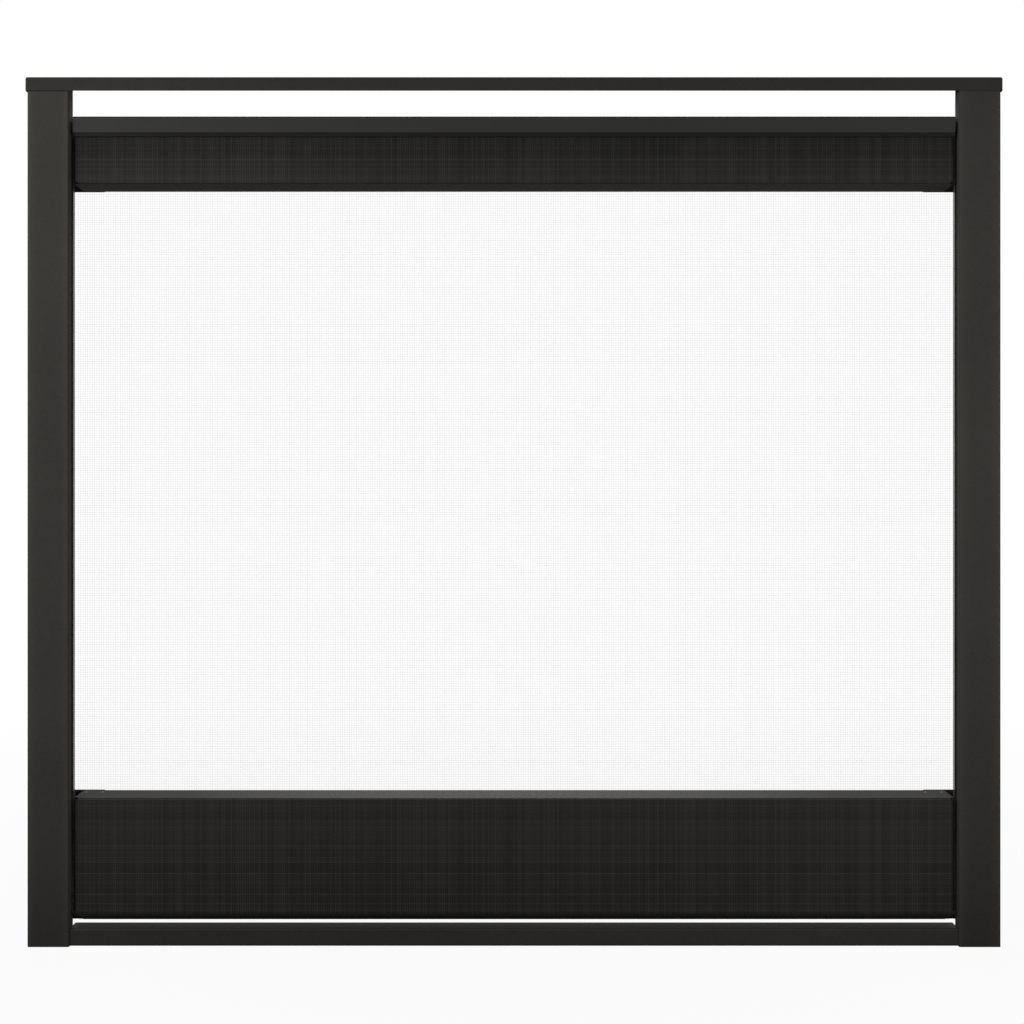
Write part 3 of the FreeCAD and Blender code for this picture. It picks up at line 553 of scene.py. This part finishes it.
# %% Wire cloth: uprights and crosswires
ROLL_RADIUS = 0.0103
WING_RADIUS = 0.0052

wing_low, wing_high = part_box("wire_mesh_right_wing")
roll_low, roll_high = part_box("wire_mesh_roll")
roll_centre = (sheet_low.y + ROLL_RADIUS, roll_low.z + ROLL_RADIUS)
inner_radius = roll_centre[0] - behind
outer_radius = roll_centre[0] - before
upright = [(0.0, behind, sheet_high.z)]
upright += [(0.0, y, z) for y, z in bend(roll_centre, inner_radius, 180, 270, 8)]
upright += [(0.0, roll_high.y, roll_centre[1] - inner_radius)]
reach = roll_high.x - PITCH / 2
upright_count = round(2 * reach / PITCH) + 1
uprights = lay_wires(1, [(-reach, 0, 0), (reach, 0, 0)], upright, upright_count)

side_x = wing_high.x - (middle_y - sheet_low.y) + WIRE / 2
turn_radius = side_x - (wing_high.x - WING_RADIUS)
turn_centre = (side_x - turn_radius, before + turn_radius)
right_end = [(x, y, 0.0) for x, y in bend(turn_centre, turn_radius, -90, 0, 7)]
right_end += [(side_x, wing_high.y, 0.0)]
left_end = [(-x, y, z) for x, y, z in reversed(right_end)]
cross_count = round((sheet_high.z - sheet_low.z) / PITCH)
cross_row = [(0, 0, sheet_low.z), (0, 0, sheet_high.z - PITCH / 2)]
crosses = lay_wires(2, cross_row, left_end + right_end, cross_count)
print(upright_count, "uprights and", cross_count, "crosswires of", WIRE * 1000, "mm")

# %% [markdown]
# The roll and the wings have wires of their own that lie along the bends. There the bend is the row of
# stations and the wire is straight.

# %% Wire cloth: roll and wings
under = [(0.0, y, z) for y, z in bend(roll_centre, outer_radius, 190, 270, 8)]
under += [(0.0, roll_high.y, roll_centre[1] - outer_radius)]
under_wire = [(-roll_high.x, 0, 0), (roll_high.x, 0, 0)]
rolled = lay_wires(3, under, under_wire, round(length_of(under) / PITCH))

wing_inner = turn_radius - WIRE
wings = []
for sign in (-1, 1):
    wing = [(sign * x, y, 0.0) for x, y in bend(turn_centre, wing_inner, -60, 0, 6)]
    wing += [(wing[-1][0], wing_high.y - PITCH / 2, 0.0)]
    wing_wire = [(0, 0, wing_low.z), (0, 0, wing_high.z)]
    wings.append(lay_wires(4 + sign, wing, wing_wire, round(length_of(wing) / PITCH) + 1))
print("roll", round(length_of(under) * 1000, 1), "mm round, wings", round(length_of(wing) * 1000, 1), "mm")

# %% [markdown]
# All runs are one cloth, so they become one mesh. It stands for the four CAD sheets and rides on the screen.
# Wires are round, so their sides shade smoothly, and only the cut ends keep a sharp rim.

# %% Wire cloth: one piece
SHARP_FROM = math.radians(50)


def join_meshes(name, meshes):
    joined = bmesh.new()
    for mesh in meshes:
        joined.from_mesh(mesh)
    whole = bpy.data.meshes.new(name)
    joined.to_mesh(whole)
    joined.free()
    whole.materials.append(meshes[0].materials[0])
    return whole


def new_piece(name, mesh, body, slot, *stands_for):
    mesh.name = name
    mesh.shade_smooth()
    mesh.set_sharp_from_angle(angle=SHARP_FROM)
    piece = bpy.data.objects.new(name, mesh)
    scene.collection.objects.link(piece)
    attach(piece, body)
    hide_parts(*stands_for)
    triangles = sum(len(face.vertices) - 2 for face in mesh.polygons)
    print(name, "on", body, "has", triangles, "triangles")


new_piece(
    "wire_cloth", join_meshes("wire_cloth", [uprights, crosses, rolled, *wings]), "screen", "mesh_wire",
    "wire_mesh", "wire_mesh_roll", "wire_mesh_left_wing", "wire_mesh_right_wing",
)

# %% [markdown]
# Rivets, screws and studs are all turned shapes: one outline spun round an axis. The tree sweeps the outline
# along a circle so thin that the inner ends meet on the axis, merges them there, and sets a copy on every
# place, facing the way that the place says. The outline is a list of radius and height, in terms of the
# tree's own named sizes.

# %% Turned fasteners: the tree
HAIR = 1e-7
MERGE = 1e-6


def turned_tree(name, sizes, profile, recess=None):
    """A tree that spins a profile, listed from the top of the head down to the end of the shank."""
    inputs = {"Places": "Geometry", **{size: "Float" for size in sizes}}
    tree, names, given = new_tree(name, {**inputs, "Sides": "Int", "Seed": "Int", "Finish": "Material"})
    start = Value(tree)
    points = []
    for radius, height in profile(given):
        points.append(start.node("ShaderNodeCombineXYZ", None, {"X": radius, "Y": -1.0 * height}))
    line = start.node("GeometryNodeMeshLine", None, {"Count": len(points)})
    index = start.node("GeometryNodeInputIndex")
    settings = {"data_type": "VECTOR", "choices": len(points)}
    sockets = {0: index, **{i + 1: point for i, point in enumerate(points)}}
    spot = start.node("GeometryNodeIndexSwitch", settings, sockets)
    shaped = start.node("GeometryNodeSetPosition", None, {"Geometry": line, "Position": spot})
    outline = start.node("GeometryNodeMeshToCurve", None, {"Mesh": shaped})
    sockets = {"Resolution": given["Sides"], "Radius": HAIR}
    axis = start.node("GeometryNodeCurvePrimitiveCircle", {"mode": "RADIUS"}, sockets)
    spun = start.node("GeometryNodeCurveToMesh", None, {"Curve": axis, "Profile Curve": outline})
    solid = start.node("GeometryNodeMergeByDistance", None, {"Geometry": spun, "Distance": MERGE})
    if recess:
        solid = recess(solid, given)
    settings = {"data_type": "FLOAT_VECTOR"}
    facing = start.node("GeometryNodeInputNamedAttribute", settings, {"Name": "facing"})
    aim = start.node("FunctionNodeAlignRotationToVector", {"axis": "Z"}, {"Vector": facing})
    sockets = {2: 0.0, 3: math.pi, "Seed": given["Seed"]}
    turn = start.node("FunctionNodeRandomValue", {"data_type": "FLOAT"}, sockets, output=1)
    spin = start.node("ShaderNodeCombineXYZ", None, {"Z": turn})
    sockets = {"Rotation": aim, "Rotate By": spin}
    aimed = start.node("FunctionNodeRotateRotation", {"rotation_space": "LOCAL"}, sockets)
    sockets = {"Points": given["Places"], "Instance": solid, "Rotation": aimed}
    end_tree(start.node("GeometryNodeInstanceOnPoints", None, sockets), given["Finish"])
    return tree, names


print("turned shapes close on their axis within", MERGE, "m")

# %% [markdown]
# A blind rivet is set from one side: its mandrel is pulled until the tail swells, then snaps off and leaves a
# hole in the head. The outline goes from the bottom of that hole over the dome and down to the tail.

# %% Turned fasteners: the rivet

def rivet_profile(size):
    """A blind rivet: a domed head with the hole its mandrel left, a shank, and a swollen tail."""
    rim, hole, shank = 0.5 * size["Head diameter"], 0.5 * size["Hole diameter"], 0.5 * size["Shank diameter"]
    tail, head, length = 0.5 * size["Tail diameter"], size["Head height"], size["Shank length"]
    swell = size["Tail length"]
    floor_of_hole = head - size["Hole depth"]
    points = [(0.0, floor_of_hole), (hole, floor_of_hole)]
    for degrees in (0, 24, 46, 66, 84):
        turn = math.radians(degrees)
        points.append((hole + math.sin(turn) * (rim - hole), head * (0.25 + 0.75 * math.cos(turn))))
    points += [(rim, 0.0 * head), (shank, 0.0 * head), (shank, swell - length)]
    points += [(tail, 0.6 * swell - length), (tail, 0.15 * swell - length), (0.75 * tail, -1.0 * length)]
    return points + [(0.0, -1.0 * length)]


RIVET_SIZES = (
    "Head diameter", "Head height", "Hole diameter", "Hole depth", "Shank diameter", "Shank length",
    "Tail diameter", "Tail length",
)
rivet_tree, rivet_inputs = turned_tree("blind_rivet", RIVET_SIZES, rivet_profile)
print("tree", rivet_tree.name, "with sizes", ", ".join(RIVET_SIZES))

# %% [markdown]
# The CAD already knows where each rivet goes and which way it faces. A CAD node is loose triangles, so its
# copy is merged into solids first; each solid's box then gives the axis (the side that differs from the other
# two), and its wide end gives the way that the head faces.

# %% Turned fasteners: places read from the CAD
RIM_SHARE = 0.49


def solids_of(node):
    """The points of each separate solid in a CAD node."""
    merged = bmesh.new()
    merged.from_mesh(frame["nodes"][node].data)
    bmesh.ops.remove_doubles(merged, verts=merged.verts, dist=MERGE)
    left = set(merged.verts)
    solids = []
    while left:
        reached = [left.pop()]
        for vertex in reached:
            for edge in vertex.link_edges:
                other = edge.other_vert(vertex)
                if other in left:
                    left.discard(other)
                    reached.append(other)
        solids.append([vertex.co.copy() for vertex in reached])
    merged.free()
    return solids


def heads_of(node, head_height):
    """Where each head sits and which way it faces, and the head's and the shank's common sizes."""
    places = []
    for points in solids_of(node):
        low = Vector(min(p[i] for p in points) for i in range(3))
        high = Vector(max(p[i] for p in points) for i in range(3))
        size, middle = high - low, (low + high) / 2
        axis = max(range(3), key=lambda i: min(abs(size[i] - size[j]) for j in range(3) if j != i))
        wide = size[(axis + 1) % 3]
        others = [i for i in range(3) if i != axis]
        rim = [p for p in points if math.hypot(*(p[i] - middle[i] for i in others)) > RIM_SHARE * wide]
        side = 1 if sum(p[axis] for p in rim) / len(rim) > middle[axis] else -1
        facing = Vector(side if i == axis else 0 for i in range(3))
        seat = middle + facing * (size[axis] / 2 - head_height)
        places.append((seat, facing))
    return places, wide, size[axis] - head_height


def place_mesh(places):
    mesh = bpy.data.meshes.new("places")
    mesh.from_pydata([seat for seat, _ in places], [], [])
    facing = mesh.attributes.new("facing", "FLOAT_VECTOR", "POINT")
    facing.data.foreach_set("vector", [part for _, way in places for part in way])
    return mesh


print("hanger studs in the CAD:", len(solids_of("hanger_studs")))

# %% [markdown]
# Six nodes are rivets. Four of them show a swollen tail at the far end; the ear and hook rivets end flush.

# %% Turned fasteners: rivets
RIVET_HEAD = 0.0009
RIVET_SHANK = 0.0032
TAIL_SWELL = 1.3
TAILS = {
    "bottom_bar_rivets": ("frame", 0.0015),
    "ear_rivets": ("frame", 0.0),
    "top_rail_rivets": ("screen", 0.0015),
    "lower_clamp_rivets": ("screen", 0.0015),
    "valance_end_rivets": ("screen", 0.0015),
    "hook_rivets": ("screen", 0.0),
}
for node, (body, tail_length) in TAILS.items():
    places, head_width, shank_length = heads_of(node, RIVET_HEAD)
    swollen = TAIL_SWELL if tail_length else 1.0
    mesh = grow(rivet_tree, rivet_inputs, place_mesh(places), {
        "Head diameter": head_width, "Head height": RIVET_HEAD, "Hole diameter": 0.0017,
        "Hole depth": 0.0005, "Shank diameter": RIVET_SHANK, "Shank length": shank_length,
        "Tail diameter": swollen * RIVET_SHANK, "Tail length": tail_length,
        "Sides": 24, "Seed": 7, "Finish": black_oxide,
    })
    new_piece(f"turned_{node}", mesh, body, "fastener_black", node)

# %% [markdown]
# The screws that hold the cap brackets are pan heads with a cross for the driver. The cross is cut with two
# blocks, and every screw is left at its own angle, because nobody lines them up.

# %% Turned fasteners: bracket screws

def screw_profile(size):
    """A low domed head on a shank with a short tapered tip."""
    rim, shank = 0.5 * size["Head diameter"], 0.5 * size["Shank diameter"]
    head, length = size["Head height"], size["Shank length"]
    points = [(0.0, head)]
    for share, level in ((0.45, 0.97), (0.75, 0.84), (0.92, 0.58), (1.0, 0.22), (1.0, 0.0)):
        points.append((share * rim, level * head))
    points += [(shank, 0.0 * head), (shank, -0.85 * length), (0.7 * shank, -1.0 * length)]
    return points + [(0.0, -1.0 * length)]


def cross_recess(solid, size):
    """Cut two crossed grooves into the head."""
    across, deep = 0.56 * size["Head diameter"], size["Recess depth"]
    top = solid.node("ShaderNodeCombineXYZ", None, {"Z": size["Head height"]})
    for along in ("X", "Y"):
        sides = {"X": size["Recess width"], "Y": size["Recess width"], "Z": 2.0 * deep}
        block_size = solid.node("ShaderNodeCombineXYZ", None, {**sides, along: across})
        block = solid.node("GeometryNodeMeshCube", None, {"Size": block_size})
        placed = solid.node("GeometryNodeTransform", None, {"Geometry": block, "Translation": top})
        settings = {"operation": "DIFFERENCE", "solver": "EXACT"}
        solid = solid.node("GeometryNodeMeshBoolean", settings, {"Mesh 1": solid, "Mesh 2": placed})
    return solid


SCREW_SIZES = (
    "Head diameter", "Head height", "Shank diameter", "Shank length", "Recess width", "Recess depth",
)
screw_tree, screw_inputs = turned_tree("pan_screw", SCREW_SIZES, screw_profile, cross_recess)
SCREW_HEAD = 0.0013
places, head_width, shank_length = heads_of("cap_bracket_screws", SCREW_HEAD)
mesh = grow(screw_tree, screw_inputs, place_mesh(places), {
    "Head diameter": head_width, "Head height": SCREW_HEAD, "Shank diameter": 0.004,
    "Shank length": shank_length, "Recess width": 0.0011, "Recess depth": 0.0008,
    "Sides": 32, "Seed": 11, "Finish": black_oxide,
})
new_piece("turned_cap_bracket_screws", mesh, "frame", "fastener_black", "cap_bracket_screws")

# %% [markdown]
# The studs that carry the screen have a broad head, so the hooks can't slip off forwards, and a collar that
# keeps them square to the ear. Both have a small chamfer, as anything from a lathe has.

# %% Turned fasteners: hanger studs

def stud_profile(size):
    rim, shank, collar = (0.5 * size[f"{part} diameter"] for part in ("Head", "Shank", "Collar"))
    head, neck = size["Head height"], size["Neck"]
    thick, length = size["Collar height"], size["Shank length"]
    break_edge = size["Chamfer"]
    return [
        (0.0, head), (rim - break_edge, head), (rim, head - break_edge), (rim, break_edge),
        (rim - break_edge, 0.0 * head), (shank, 0.0 * head), (shank, -1.0 * neck),
        (collar - break_edge, -1.0 * neck), (collar, -1.0 * neck - break_edge),
        (collar, -1.0 * neck - thick), (shank, -1.0 * neck - thick), (shank, break_edge - length),
        (shank - break_edge, -1.0 * length), (0.0, -1.0 * length),
    ]


STUD_SIZES = (
    "Head diameter", "Head height", "Shank diameter", "Shank length", "Neck", "Collar diameter",
    "Collar height", "Chamfer",
)
stud_tree, stud_inputs = turned_tree("hanger_stud", STUD_SIZES, stud_profile)
STUD_HEAD = 0.0025
places, head_width, shank_length = heads_of("hanger_studs", STUD_HEAD)
mesh = grow(stud_tree, stud_inputs, place_mesh(places), {
    "Head diameter": head_width, "Head height": STUD_HEAD, "Shank diameter": 0.006,
    "Shank length": shank_length, "Neck": 0.004, "Collar diameter": 0.010, "Collar height": 0.0015,
    "Chamfer": 0.0004, "Sides": 40, "Seed": 3, "Finish": zinc_plate,
})
new_piece("turned_hanger_studs", mesh, "frame", "hanger_steel", "hanger_studs")

# %% [markdown]
# The front stands on a plain pale floor under an even white sky. The photograph has pure white all round, so
# sky and floor both show white to the camera and in reflections, and meet without a line. To other light the
# sky is dim, so the lamps do the shading.

# %% Sky
SKY_LIGHT = 0.12


def seen_directly(start):
    """1 for what the camera sees by itself, in a reflection or through glass, and 0 for other light."""
    path = start.tree.nodes.new("ShaderNodeLightPath")
    camera_ray, glossy_ray, clear_ray = (
        Value(start.tree, path.outputs[f"Is {kind} Ray"]) for kind in ("Camera", "Glossy", "Transmission")
    )
    either = start.maths("MAXIMUM", camera_ray, glossy_ray)
    return start.maths("MAXIMUM", either, clear_ray)


world = bpy.data.worlds.new("white_room")
scene.world = world
world.use_nodes = True
sky = world.node_tree.nodes["Background"]
sky.inputs["Color"].default_value = (1.0, 1.0, 1.0, 1.0)
level = SKY_LIGHT + (1.0 - SKY_LIGHT) * seen_directly(Value(world.node_tree))
world.node_tree.links.new(level.socket, sky.inputs["Strength"])
print("sky light", SKY_LIGHT)

# %% [markdown]
# The floor mixes its own matt shading with a white glow. Near the front it keeps part of the shading, so the
# front's shadow stays on it; further away the glow takes over.

# %% Floor
FLOOR_SHADING = 0.06
SHADED_REACH = 2.4
FLOOR_HALF = 7.0

floor_mesh = bpy.data.meshes.new("floor")
corners = [(x * FLOOR_HALF, y * FLOOR_HALF, 0) for x, y in ((-1, -1), (1, -1), (1, 1), (-1, 1))]
floor_mesh.from_pydata(corners, [], [(0, 1, 2, 3)])
floor_paint, shader, place = new_finish("floor_paint")
feed(mix_colours(noise(place, 3.0, 4.0), (0.22, 0.22, 0.22), (0.26, 0.26, 0.26)), shader, "Base Color")
shader.inputs["Roughness"].default_value = 0.9
shader.inputs["Specular IOR Level"].default_value = 0.0
start = Value(floor_paint.node_tree)
matt = Value(floor_paint.node_tree, shader.outputs["BSDF"])
glow = start.node("ShaderNodeEmission", None, {"Color": (1.0, 1.0, 1.0, 1.0), "Strength": 1.0})
away = start.node("ShaderNodeVectorMath", {"operation": "LENGTH"}, {0: place}, output="Value")
near = start.maths("MAXIMUM", 1.0 - away * (1.0 / SHADED_REACH), 0.0)
share = seen_directly(start) * (1.0 - FLOOR_SHADING * near)
mixed = start.node("ShaderNodeMixShader", None, {0: share, 1: matt, 2: glow})
ends = floor_paint.node_tree.nodes["Material Output"]
floor_paint.node_tree.links.new(mixed.socket, ends.inputs["Surface"])
floor_mesh.materials.append(floor_paint)
floor = bpy.data.objects.new("floor", floor_mesh)
scene.collection.objects.link(floor)
print("floor", 2 * FLOOR_HALF, "m wide")

# %% [markdown]
# The photograph is lit from both sides. The left end of the cap and rail is lighter than the right, while the
# right post is lightest at half its height and all of it darkens towards the floor: that is a soft lamp at
# the height of the cap on the left and a weaker one at half height on the right, both near enough for their
# light to fall off over the front. The left one stands well to the side, so the posts shade the panels' ends.
# A third lamp, high behind the front, lights its back and the ledge of the lower valance.

# %% Lamps

def soft_lamp(name, place, aim, size, power):
    lamp = bpy.data.lights.new(name, "AREA")
    lamp.shape = "SQUARE"
    lamp.size = size
    lamp.energy = power
    made = bpy.data.objects.new(name, lamp)
    made.location = place
    made.rotation_euler = (Vector(aim) - Vector(place)).to_track_quat("-Z", "Y").to_euler()
    scene.collection.objects.link(made)
    print("lamp", name, power, "W")


soft_lamp("key", place=(-1.3, -1.0, 1.12), aim=(0.0, 0.0, 0.70), size=0.8, power=25.0)
soft_lamp("fill", place=(0.92, -1.0, 0.60), aim=(0.0, 0.0, 0.65), size=0.7, power=9.0)
soft_lamp("back", place=(0.0, 1.3, 1.95), aim=(0.0, 0.0, 0.45), size=0.9, power=22.0)
